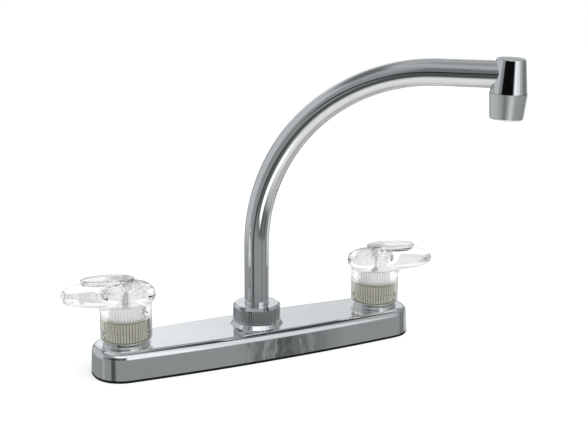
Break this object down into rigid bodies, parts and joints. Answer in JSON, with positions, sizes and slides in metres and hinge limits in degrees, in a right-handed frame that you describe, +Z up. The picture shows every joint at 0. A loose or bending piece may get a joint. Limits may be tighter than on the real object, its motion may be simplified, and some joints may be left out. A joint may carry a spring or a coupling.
{
  "type": "two handle kitchen faucet",
  "caption": "Deck mounted kitchen faucet: long chrome cover, turning high arc tube spout with an aerator, and clear lever handles on quarter-turn valves.",
  "frame": {"origin": "middle of the gasket's underside, on the sink deck, halfway between the two shanks", "axes": "+X along the cover to the right handle, +Y to the rear (towards the wall), +Z up"},
  "size_m": [0.2922, 0.1713, 0.2771],
  "materials": {
    "cover_chrome": "bright plated",
    "tube_chrome": "bright plated",
    "nut_chrome": "bright plated",
    "head_chrome": "bright plated",
    "aerator_chrome": "satin plated",
    "clear_plastic": "clear, polished",
    "cap_plastic": "pale, polished",
    "insert_plastic": "milky, translucent",
    "bonnet_plastic": "grey, moulded",
    "guide_plastic": "off-white, moulded",
    "lock_nut_plastic": "moulded",
    "brass": "machined",
    "copper": "drawn",
    "spring_steel": "drawn wire",
    "screw_steel": "turned",
    "gasket_rubber": "matte black",
    "seal_rubber": "matte black"
  },
  "bodies": {
    "base": {"deck_cover": "cover_chrome", "deck_gasket": "gasket_rubber", "spout_hub": "brass", "spout_nut": "nut_chrome", "spout_glide_washer": "guide_plastic", "left_valve_body": "brass", "left_crossover_tube": "copper", "left_cartridge": "guide_plastic", "left_seat": "seal_rubber", "left_seat_spring": "spring_steel", "left_bonnet_nut": "bonnet_plastic", "left_cover_nut": "nut_chrome", "left_mounting_nut": "lock_nut_plastic", "left_mounting_washer": "lock_nut_plastic", "right_valve_body": "brass", "right_crossover_tube": "copper", "right_cartridge": "guide_plastic", "right_seat": "seal_rubber", "right_seat_spring": "spring_steel", "right_bonnet_nut": "bonnet_plastic", "right_cover_nut": "nut_chrome", "right_mounting_nut": "lock_nut_plastic", "right_mounting_washer": "lock_nut_plastic"},
    "spout": {"spout_tube": "tube_chrome", "spout_retaining_ring": "brass", "spout_seals": "seal_rubber", "spout_end_fitting": "brass", "spout_head": "head_chrome", "aerator_housing": "aerator_chrome", "aerator_washer": "seal_rubber", "aerator_insert": "guide_plastic"},
    "left_handle": {"left_handle": "clear_plastic", "left_index_cap": "cap_plastic", "left_handle_insert": "insert_plastic", "left_handle_screw": "screw_steel", "left_stem": "brass", "left_stem_seal": "seal_rubber"},
    "right_handle": {"right_handle": "clear_plastic", "right_index_cap": "cap_plastic", "right_handle_insert": "insert_plastic", "right_handle_screw": "screw_steel", "right_stem": "brass", "right_stem_seal": "seal_rubber"}
  },
  "joints": [
    {"name": "spout_swivel", "type": "hinge", "parent": "base", "child": "spout", "pos_m": [0, 0, 0.024], "axis": [0, 0, 1], "continuous": true},
    {"name": "left_handle_turn", "type": "hinge", "parent": "base", "child": "left_handle", "pos_m": [-0.1016, 0, 0.03], "axis": [0, 0, 1], "range_deg": [0, 90]},
    {"name": "right_handle_turn", "type": "hinge", "parent": "base", "child": "right_handle", "pos_m": [0.1016, 0, 0.03], "axis": [0, 0, 1], "range_deg": [0, 90]}
  ]
}
